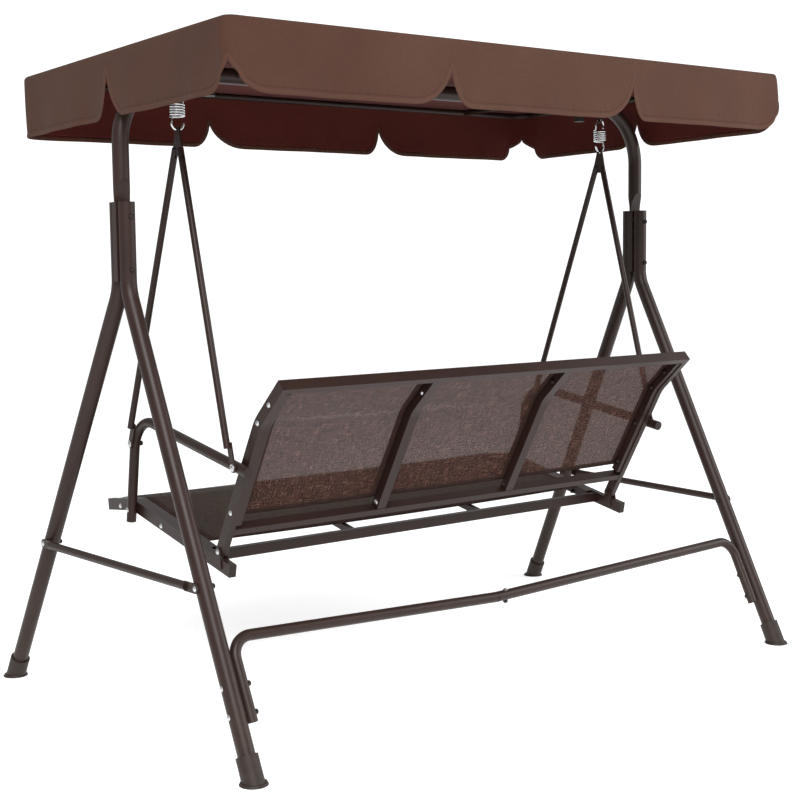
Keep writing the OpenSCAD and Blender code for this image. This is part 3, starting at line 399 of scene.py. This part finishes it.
post_route = shift_route(bent_route(post_corners, post_bend_r), mesh_forward)
mesh_route = [p for p in post_route if mesh_low.z + 0.002 < p.y < mesh_high.z - 0.002]
for label in ("left", "middle", "right"):
    low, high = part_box("back_mesh_" + label)
    panel, length = stretched_sheet("back_panel_" + label, mesh_route, low.x, high.x, mesh_thick,
                                    [back_weave, sleeve_weave], mesh_dip)
    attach(panel, "seat")
    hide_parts("back_mesh_" + label)

sling_low, sling_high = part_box("seat_sling")
rail_corners = [(-0.482, 0.424), (-0.345, 0.440), (0.130, 0.346)]
sling_up = 0.0143
sling_thick = 0.0016
sling_dip = 0.010
sling_route = shift_route(bent_route(rail_corners, 0.09), sling_up)
sling_route = [p for p in sling_route if sling_low.y + 0.002 < p.x < sling_high.y - 0.002]
sling, length = stretched_sheet("seat_fabric", sling_route, sling_low.x, sling_high.x, sling_thick,
                                [seat_weave, sleeve_weave], sling_dip, columns=120)
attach(sling, "seat")
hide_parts("seat_sling")

# ---- canopy -------------------------------------------------------------------------------------
# One roof of coated polyester over two bent tubes, with flaps sewn on all round. Notches part the
# flaps where the cloth has to give way. The inside is the same cloth in painted shade, made darker and
# redder maroon, with painted light coming through the cloth.
dress(powder_coat, "canopy_bow_", "canopy_side_", "canopy_arms")
canopy_tilt = math.radians(1.12)
tilt_centre = Vector((0, 0, 1.490))
half_w = 0.8505
front_y = -0.5135
rear_y = 0.5035
roof_up = 0.0375
edge_r = 0.010
rear_corner_r = 0.026
front_corner_r = 0.055
drop = 0.148


def flap_rise(distance, reach):
    """How far a hem has come down, from 0 at a notch to 1 past its rounded corner."""
    if distance >= reach:
        return 1.0
    return (1 - (1 - distance / reach) ** 2.3) ** 0.62


# Each flap: start and end along its edge, how far its rounded corners reach, and its notches' depths
rear_flaps = [(0.825, 0.283, 0.075, 0.115, 0.112, 0.060),
              (0.283, -0.283, 0.062, 0.110, 0.060, 0.060),
              (-0.283, -0.825, 0.050, 0.062, 0.060, 0.112)]
left_flaps = [(0.4775, -0.012, 0.055, 0.075, 0.112, 0.034), (-0.012, -0.515, 0.075, 0.02, 0.034, None)]
right_flaps = [(0.4775, -0.012, 0.055, 0.075, 0.112, 0.070), (-0.012, -0.4585, 0.075, 0.050, 0.070, 0.110)]
front_flaps = [(-0.7955, -0.276, 0.040, 0.100, 0.110, 0.072),
               (-0.276, 0.303, 0.050, 0.110, 0.072, 0.080),
               (0.303, 0.852, 0.055, 0.02, 0.080, None)]


def flap_depth(place, flaps):
    """Depth of the hem below the roof's edge at a place along a side."""
    for start, end, reach_start, reach_end, notch_start, notch_end in flaps:
        if min(start, end) <= place <= max(start, end):
            depth = drop
            for edge, reach, notch in ((start, reach_start, notch_start), (end, reach_end, notch_end)):
                if notch is not None:
                    depth = min(depth, notch + (drop - notch) * flap_rise(abs(place - edge), reach))
            return depth
    return drop


def edge_places(flaps):
    """Places along a side, close together where the hems curve."""
    places = []
    for start, end, reach_start, reach_end, notch_start, notch_end in flaps:
        sign = 1 if end > start else -1
        length = abs(end - start)
        steps = [reach_start * (1 - math.cos(math.pi / 2 * k / 12)) for k in range(12)]
        middle = length - reach_start - reach_end
        count = max(6, int(middle / 0.010))
        steps += [reach_start + middle * k / count for k in range(count)]
        steps += [length - reach_end * (1 - math.sin(math.pi / 2 * k / 12)) for k in range(12)]
        places += [start + sign * s for s in steps]
    places.append(flaps[-1][1])
    return places


corner_steps = 24
corner_notch = 0.082


def rim():
    """The canopy's rim in plan: (point, outward direction, depth of the hem), all the way round."""
    loop = []

    def straight(flaps, low, high, spot, out):
        for place in edge_places(flaps):
            if low <= place <= high:
                loop.append((Vector(spot(place)), Vector(out), flap_depth(place, flaps)))

    def corner(x_side, y_side, quarter, depth_after, notch):
        r = rear_corner_r if y_side > 0 else front_corner_r
        middle = Vector((x_side * (half_w - r), rear_y - r if y_side > 0 else front_y + r))
        depth_before = loop[-1][2]
        for k in range(1, corner_steps):
            t = k / corner_steps
            a = math.pi / 2 * (quarter + t)
            out = Vector((math.cos(a), math.sin(a)))
            depth = depth_before + (depth_after - depth_before) * t
            if notch is not None:
                depth = notch + (depth - notch) * abs(2 * t - 1) ** 0.6
            loop.append((middle + out * r, out, depth))

    side_low, side_high = front_y + front_corner_r, rear_y - rear_corner_r
    rear_x, front_x = half_w - rear_corner_r, half_w - front_corner_r
    straight(rear_flaps, -rear_x, rear_x, lambda x: (x, rear_y), (0, 1))
    corner(-1, 1, 1, right_flaps[0][4], corner_notch)
    straight(right_flaps, side_low, side_high, lambda y: (-half_w, y), (-1, 0))
    corner(-1, -1, 2, front_flaps[0][4], corner_notch)
    straight(front_flaps, -front_x, front_x, lambda x: (x, front_y), (0, -1))
    corner(1, -1, 3, drop, None)
    for place in reversed(edge_places(left_flaps)):
        if side_low <= place <= side_high:
            loop.append((Vector((half_w, place)), Vector((1, 0)), flap_depth(place, left_flaps)))
    corner(1, 1, 0, rear_flaps[0][4], corner_notch)
    return loop


arm_x = 0.6
bow_x = 0.84
middle_sag = 0.010
outer_sag = 0.006


def roof_sag(x, y):
    """The cloth dips between the tubes that carry it."""
    if abs(x) < arm_x:
        across = middle_sag * math.cos(math.pi * x / (2 * arm_x)) ** 2
    else:
        across = outer_sag * math.sin(math.pi * (abs(x) - arm_x) / (bow_x - arm_x)) ** 2
    t = (y - front_y) / (rear_y - front_y)
    return -across * math.sin(math.pi * min(max(t, 0), 1)) ** 0.8


def placed(x, y, z):
    """A point of the level canopy, put on the beam and tilted with it."""
    return Matrix.Rotation(canopy_tilt, 3, "X") @ Vector((x, y, z)) + tilt_centre


# The hem waves, the flap bows out between its notches, and its lower edge hangs in a little
hem_ripple = 0.003
flap_bulge = 0.005
hem_tuck = 0.002
canopy_loop = rim()
canopy_build = bmesh.new()
canopy_uv = canopy_build.loops.layers.uv.new("UVMap")
from_hem = canopy_build.verts.layers.float.new("from_hem")
run = [0.0]
for k in range(1, len(canopy_loop) + 1):
    run.append(run[-1] + (canopy_loop[k % len(canopy_loop)][0] - canopy_loop[k - 1][0]).length)
# The flaps' UVs lie beside the roof's
flap_uv = 5
flap_rows = 16
edge_rows = 6
roof_rows = 26
rows, row_uv, hem_line = [], [], []
centre = Vector((0, (front_y + rear_y) / 2))
for k, (point, out, depth) in enumerate(canopy_loop):
    column, column_uv = [], []
    for r in range(roof_rows):
        share = (r + 1) / (roof_rows + 1)
        inward = point - out * edge_r
        place = centre.lerp(inward, share)
        column.append(placed(place.x, place.y, roof_up + roof_sag(place.x, place.y)))
        column_uv.append((place.x, place.y))
    for r in range(edge_rows):
        a = math.pi / 2 * r / (edge_rows - 1)
        place = point - out * edge_r * (1 - math.sin(a))
        column.append(placed(place.x, place.y, roof_up - edge_r * (1 - math.cos(a))))
        column_uv.append((run[k], flap_uv + edge_r * a))
    phase = 2 * math.pi * run[k]
    for r in range(1, flap_rows + 1):
        down = edge_r + (depth - edge_r) * r / flap_rows
        lower = max(0.0, down / drop)
        wave = math.sin(phase * 3.1) + 0.6 * math.sin(phase * 7.3 + 1.0)
        belly = math.sin(math.pi * min(lower, 1.0)) * (0.6 + 0.4 * math.sin(phase * 1.3 + 0.5))
        push = flap_bulge * belly + hem_ripple * lower ** 1.6 * wave - hem_tuck * lower
        place = point + out * push
        column.append(placed(place.x, place.y, roof_up - down))
        column_uv.append((run[k], flap_uv + down))
    rows.append([canopy_build.verts.new(v) for v in column])
    for r, vertex in enumerate(reversed(rows[-1])):
        vertex[from_hem] = min(1.0, (depth - edge_r) * r / flap_rows) if r <= flap_rows else 1.0
    row_uv.append(column_uv)
    hem_line.append((column[-1], column[-2], out))
hub = canopy_build.verts.new(placed(centre.x, centre.y, roof_up + roof_sag(centre.x, centre.y)))
hub[from_hem] = 1.0
for k in range(len(rows)):
    n = (k + 1) % len(rows)
    face = canopy_build.faces.new([hub, rows[k][0], rows[n][0]])
    for loop, place in zip(face.loops, [(centre.x, centre.y), row_uv[k][0], row_uv[n][0]]):
        loop[canopy_uv].uv = place
    for r in range(len(rows[k]) - 1):
        face = canopy_build.faces.new([rows[k][r], rows[k][r + 1], rows[n][r + 1], rows[n][r]])
        spots = [row_uv[k][r], row_uv[k][r + 1], row_uv[n][r + 1], row_uv[n][r]]
        if n == 0:
            spots[2:] = [(run[-1], spot[1]) if spot[1] > flap_uv - 1 else spot for spot in spots[2:]]
        for loop, place in zip(face.loops, spots):
            loop[canopy_uv].uv = place
for face in canopy_build.faces:
    face.smooth = True
bmesh.ops.recalc_face_normals(canopy_build, faces=canopy_build.faces)
canopy_area = sum(face.calc_area() for face in canopy_build.faces)
canopy_mesh = bpy.data.meshes.new("canopy_cover")
canopy_build.to_mesh(canopy_mesh)
canopy_build.free()
canopy = bpy.data.objects.new("canopy_cover", canopy_mesh)
bpy.context.collection.objects.link(canopy)


stitch_up = 0.012


def cloth(name, dark, light, rough, hemmed=False):
    """Tight plain-woven polyester with slow variations of tone, gathered and stitched near its hem."""
    material = bpy.data.materials.new(name)
    material.use_nodes = True
    tree = material.node_tree
    surface = tree.nodes["Principled BSDF"]
    threads = add_node(tree, "ShaderNodeGroup")
    threads.node_tree = weave
    threads.inputs["Pitch"].default_value = 700
    where = add_node(tree, "ShaderNodeTexCoord")
    slow = add_node(tree, "ShaderNodeTexNoise", Scale=3.0, Detail=4.0)
    crease = add_node(tree, "ShaderNodeTexNoise", Scale=9.0, Detail=5.0)
    tones = add_node(tree, "ShaderNodeMix", data_type="RGBA")
    tones.inputs[6].default_value, tones.inputs[7].default_value = dark, light
    mixed = add_node(tree, "ShaderNodeMath", operation="MULTIPLY")
    folds = add_node(tree, "ShaderNodeBump", Strength=0.35, Distance=0.004)
    grain = add_node(tree, "ShaderNodeBump", Strength=0.3, Distance=0.0003)
    link = tree.links.new
    if hemmed:
        reach = add_node(tree, "ShaderNodeAttribute", attribute_name="from_hem")
        near_hem = add_node(tree, "ShaderNodeMapRange", From_Min=0.040, From_Max=0.0)
        stretch = add_node(tree, "ShaderNodeMapping")
        stretch.inputs["Scale"].default_value = (70, 14, 1)
        laid = add_node(tree, "ShaderNodeUVMap")
        pucker = add_node(tree, "ShaderNodeTexNoise", Scale=1.0, Detail=2.0)
        puckered = add_node(tree, "ShaderNodeMath", operation="MULTIPLY")
        gathers = add_node(tree, "ShaderNodeBump", Strength=0.8, Distance=0.006)
        from_stitch = add_node(tree, "ShaderNodeMath", operation="SUBTRACT")
        from_stitch.inputs[1].default_value = stitch_up
        off_stitch = add_node(tree, "ShaderNodeMath", operation="ABSOLUTE")
        groove = add_node(tree, "ShaderNodeMapRange", From_Min=0.0, From_Max=0.0022)
        sewn = add_node(tree, "ShaderNodeBump", Strength=0.9, Distance=0.0014)
        link(reach.outputs["Fac"], near_hem.inputs["Value"])
        link(laid.outputs[0], stretch.inputs[0])
        link(stretch.outputs[0], pucker.inputs["Vector"])
        link(pucker.outputs["Fac"], puckered.inputs[0])
        link(near_hem.outputs["Result"], puckered.inputs[1])
        link(puckered.outputs[0], gathers.inputs["Height"])
        link(reach.outputs["Fac"], from_stitch.inputs[0])
        link(from_stitch.outputs[0], off_stitch.inputs[0])
        link(off_stitch.outputs[0], groove.inputs["Value"])
        link(groove.outputs["Result"], sewn.inputs["Height"])
        link(gathers.outputs["Normal"], sewn.inputs["Normal"])
        link(sewn.outputs["Normal"], folds.inputs["Normal"])
    link(where.outputs["Object"], slow.inputs["Vector"])
    link(where.outputs["Object"], crease.inputs["Vector"])
    link(slow.outputs["Fac"], mixed.inputs[0])
    link(threads.outputs["Thread"], mixed.inputs[1])
    doubled = add_node(tree, "ShaderNodeMath", operation="MULTIPLY")
    doubled.inputs[1].default_value = 2.0
    link(mixed.outputs[0], doubled.inputs[0])
    link(doubled.outputs[0], tones.inputs["Factor"])
    link(tones.outputs[2], surface.inputs["Base Color"])
    link(crease.outputs["Fac"], folds.inputs["Height"])
    link(threads.outputs["Height"], grain.inputs["Height"])
    link(folds.outputs["Normal"], grain.inputs["Normal"])
    link(grain.outputs["Normal"], surface.inputs["Normal"])
    surface.inputs["Roughness"].default_value = rough
    surface.inputs["Sheen Weight"].default_value = 0.02
    surface.inputs["Specular IOR Level"].default_value = 0.12
    return material


outer_cloth = cloth("canopy_outer_cloth", (0.034, 0.0135, 0.0088, 1), (0.066, 0.0310, 0.0205, 1),
                    0.82, hemmed=True)
# The inner side's colour is painted shade: the outer cloth made darker and redder, as if shaded and lit
# through the cloth.
inner_painted_shade_cloth = cloth("canopy_inner_painted_shade", (0.046, 0.0076, 0.0058, 1), (0.078, 0.0140, 0.0105, 1),
                    0.88, hemmed=True)
canopy_mesh.materials.append(outer_cloth)
canopy_mesh.materials.append(inner_painted_shade_cloth)
skin = canopy.modifiers.new("thickness", "SOLIDIFY")
skin.thickness = 0.0014
skin.offset = -1
# The inner shell gets the painted-shade copy of the cloth.
skin.material_offset = 1
bpy.ops.object.select_all(action="DESELECT")
canopy.select_set(True)
bpy.context.view_layer.objects.active = canopy
bpy.ops.object.modifier_apply(modifier="thickness")
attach(canopy, "canopy")
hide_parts("canopy_fabric")

# ---- hem binding --------------------------------------------------------------------------------
# A folded strip of the same cloth sewn over the flaps' raw edge, all the way round. The row of
# stitches beside it is in the cloth's material.
binding_half = 0.0055
binding_thick = 0.0016
binding_round = 0.02
binding_cloth = cloth("canopy_binding", (0.038, 0.0155, 0.0100, 1), (0.074, 0.035, 0.0235, 1), 0.8)
binding_build = bmesh.new()
binding_uv = binding_build.loops.layers.uv.new("UVMap")
rings = []
sides = 10
count = len(hem_line)
for k in range(count):
    here, above, out = hem_line[k]
    ahead = (hem_line[(k + 1) % count][0] - hem_line[k - 1][0]).normalized()
    outwards = Vector((out.x, out.y, 0)).normalized()
    inward = outwards.cross(ahead).normalized()
    if inward.dot(above - here) < 0:
        inward.negate()
    middle = here + inward * binding_half * 0.7
    ring = []
    for s in range(sides):
        a = 2 * math.pi * s / sides
        ring.append(binding_build.verts.new(middle + inward * binding_half * math.cos(a)
                                            + outwards * binding_thick * math.sin(a)))
    rings.append(ring)
for k in range(count):
    n = (k + 1) % count
    for s in range(sides):
        t = (s + 1) % sides
        face = binding_build.faces.new([rings[k][s], rings[n][s], rings[n][t], rings[k][t]])
        face.smooth = True
        near, far = s / sides * binding_round, (s + 1) / sides * binding_round
        spots = [(run[k], near), (run[k + 1], near), (run[k + 1], far), (run[k], far)]
        for loop, place in zip(face.loops, spots):
            loop[binding_uv].uv = place
bmesh.ops.recalc_face_normals(binding_build, faces=binding_build.faces)
binding_mesh = bpy.data.meshes.new("canopy_hem_binding")
binding_build.to_mesh(binding_mesh)
binding_build.free()
binding = bpy.data.objects.new("canopy_hem_binding", binding_mesh)
bpy.context.collection.objects.link(binding)
binding_mesh.materials.append(binding_cloth)
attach(binding, "canopy")

# ---- floor, light and camera --------------------------------------------------------------------
# A white studio: a paper floor that glows a little, a broad soft light from behind the swing, a
# weaker one from its far side, and white all round.
bpy.ops.mesh.primitive_plane_add(size=60, location=(0, 0, -0.0005))
floor = bpy.context.active_object
floor.name = "studio_floor"
paper = bpy.data.materials.new("floor_paper")
paper.use_nodes = True
paper_face = paper.node_tree.nodes["Principled BSDF"]
for socket, value in (("Base Color", (0.9, 0.9, 0.9, 1)), ("Roughness", 0.9),
                      ("Emission Color", (1, 1, 1, 1)), ("Emission Strength", 0.46)):
    paper_face.inputs[socket].default_value = value
floor.data.materials.append(paper)

world = bpy.data.worlds.new("studio")
bpy.context.scene.world = world
bpy.context.scene.view_settings.view_transform = "Standard"
world.use_nodes = True
world.node_tree.nodes["Background"].inputs["Color"].default_value = (1, 1, 1, 1)
backdrop = world.node_tree.nodes["Background"]
seen = add_node(world.node_tree, "ShaderNodeLightPath")
glow = add_node(world.node_tree, "ShaderNodeMapRange", To_Min=0.66, To_Max=1.2)
world.node_tree.links.new(seen.outputs["Is Camera Ray"], glow.inputs["Value"])
world.node_tree.links.new(glow.outputs["Result"], backdrop.inputs["Strength"])
for name, place, size, power in (("key", (3.0, 4.0, 4.5), 3.0, 430), ("fill", (-4.0, 3.0, 2.5), 3.0, 130)):
    lamp = bpy.data.lights.new(name, "AREA")
    lamp.energy = power
    lamp.size = size
    light = bpy.data.objects.new(name, lamp)
    light.location = place
    light.rotation_euler = (Vector((0, 0, 0.8)) - Vector(place)).to_track_quat("-Z", "Y").to_euler()
    bpy.context.collection.objects.link(light)

eye = Vector((2.304, 2.940, 1.058))
yaw, pitch, roll = math.radians(142.52), math.radians(5.63), math.radians(-0.63)
behind = Vector((math.sin(yaw) * math.cos(pitch), -math.cos(yaw) * math.cos(pitch), math.sin(pitch)))
level = (-behind).cross(Vector((0, 0, 1))).normalized()
upward = level.cross(-behind)
right = math.cos(roll) * level + math.sin(roll) * upward
up = -math.sin(roll) * level + math.cos(roll) * upward
view = bpy.data.cameras.new("camera")
view.sensor_width = 36
view.lens = 64.17
camera = bpy.data.objects.new("camera", view)
camera.matrix_world = Matrix((
    (right.x, up.x, behind.x, eye.x),
    (right.y, up.y, behind.y, eye.y),
    (right.z, up.z, behind.z, eye.z),
    (0, 0, 0, 1)))
bpy.context.collection.objects.link(camera)
bpy.context.scene.camera = camera
